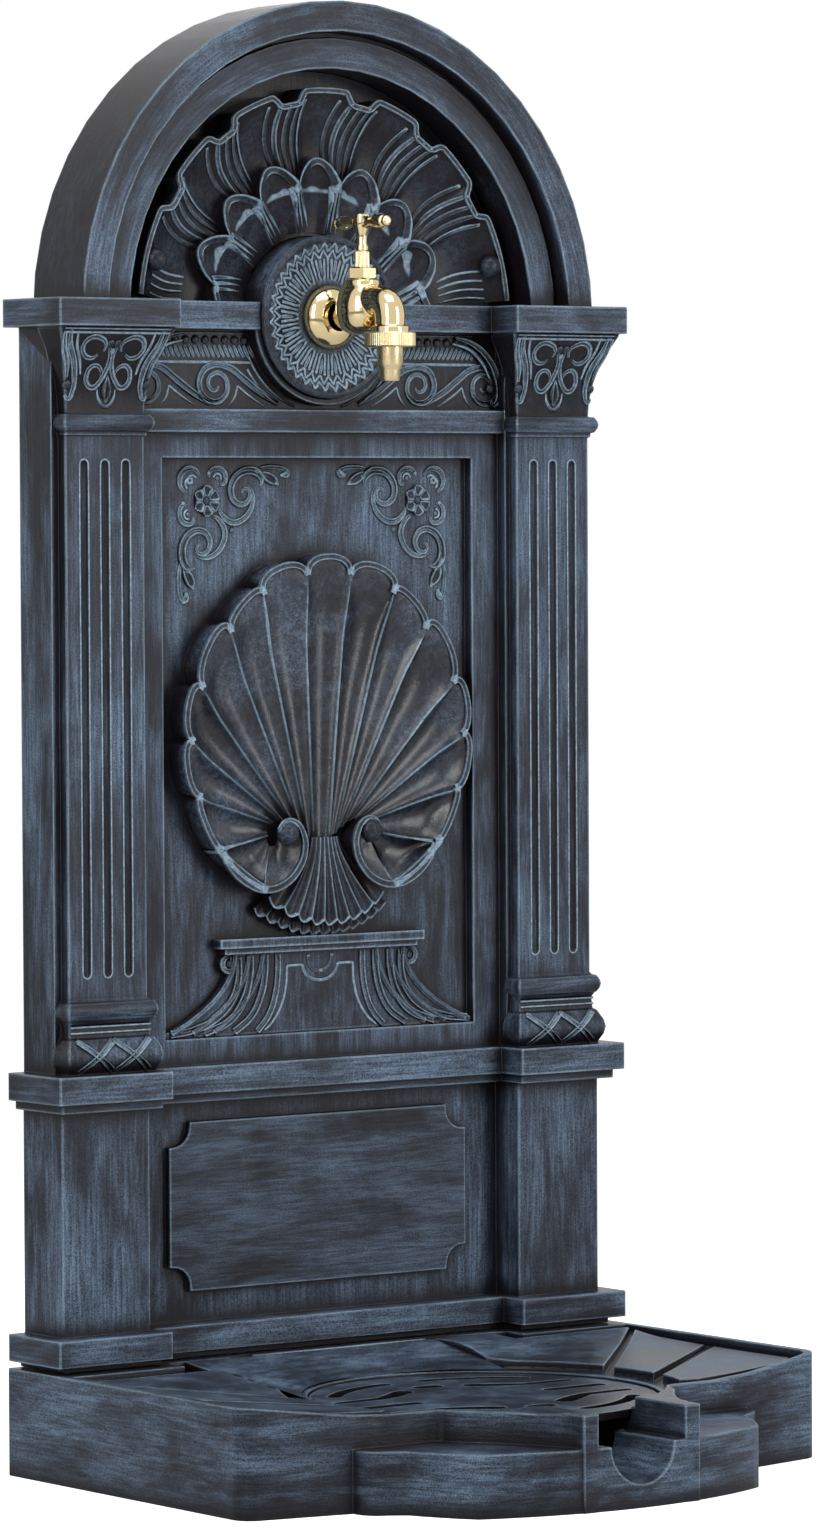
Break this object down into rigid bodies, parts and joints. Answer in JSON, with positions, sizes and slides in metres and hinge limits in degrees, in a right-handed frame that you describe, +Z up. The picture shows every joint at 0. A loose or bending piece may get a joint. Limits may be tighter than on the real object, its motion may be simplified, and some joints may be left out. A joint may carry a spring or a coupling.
{
  "type": "garden fountain",
  "caption": "Arched classical garden wall fountain with a brass bib tap on a rosette, shell ornaments and a basin with a lift-out grate and a front spout.",
  "frame": {"origin": "on the ground, under the middle of the part's footprint box", "axes": "+Z up; the front with the tap and the spout faces -Y, and the flat back faces +Y; X = 0 is the plane of symmetry"},
  "size_m": [0.463, 0.368, 0.956],
  "materials": {
    "painted_plastic": "satin",
    "polished_brass": "polished",
    "satin_brass": "satin",
    "black_rubber": "matte",
    "zinc_plated_steel": "satin"
  },
  "bodies": {
    "column": {"basin": "painted_plastic", "bonnet": "polished_brass", "bracket_screw_1": "zinc_plated_steel", "bracket_screw_2": "zinc_plated_steel", "cartouche_bracket": "painted_plastic", "column_screw_1": "zinc_plated_steel", "column_screw_2": "zinc_plated_steel", "column_screw_3": "zinc_plated_steel", "column_screw_4": "zinc_plated_steel", "escutcheon": "polished_brass", "facade": "painted_plastic", "hose_tail": "satin_brass", "hose_washer": "black_rubber", "packing_nut": "polished_brass", "packing_ring": "black_rubber", "rear_cover": "painted_plastic", "rear_cover_screw_1": "zinc_plated_steel", "rear_cover_screw_2": "zinc_plated_steel", "rear_cover_screw_3": "zinc_plated_steel", "rear_cover_screw_4": "zinc_plated_steel", "rear_cover_screw_5": "zinc_plated_steel", "rear_cover_screw_6": "zinc_plated_steel", "rear_cover_screw_7": "zinc_plated_steel", "rosette": "painted_plastic", "rosette_screw_1": "zinc_plated_steel", "rosette_screw_2": "zinc_plated_steel", "scallop_screw_1": "zinc_plated_steel", "scallop_screw_2": "zinc_plated_steel", "scallop_shell": "painted_plastic", "tap_backnut": "satin_brass", "tap_body": "polished_brass", "tap_sealing_washer": "black_rubber", "tympanum_screw_1": "zinc_plated_steel", "tympanum_screw_2": "zinc_plated_steel", "tympanum_shell": "painted_plastic"},
    "handle": {"tap_handle": "polished_brass", "spindle": "satin_brass", "handle_screw": "satin_brass"},
    "valve": {"valve_carrier": "satin_brass", "valve_washer": "black_rubber"},
    "hose_nut": {"hose_union_nut": "satin_brass"},
    "grate": {"grate": "painted_plastic"}
  },
  "joints": [
    {"name": "tap_handle_turn", "type": "hinge", "parent": "column", "child": "handle", "pos_m": [0, 0.107, 0.8105], "axis": [0, 0, 1], "range_deg": [0, 720]},
    {"name": "valve_lift", "type": "slide", "parent": "column", "child": "valve", "axis": [0, 0, 1], "range_m": [0, 0.005]},
    {"name": "hose_nut_turn", "type": "hinge", "parent": "column", "child": "hose_nut", "pos_m": [0, 0.0765, 0.7332], "axis": [0, 0, 1], "continuous": true},
    {"name": "grate_lift", "type": "slide", "parent": "column", "child": "grate", "axis": [0, 0, 1], "range_m": [0, 0.06]}
  ],
  "couplings": [
    {"joint": "valve_lift", "follows": "tap_handle_turn", "m_per_rad": 0.00039789}
  ]
}
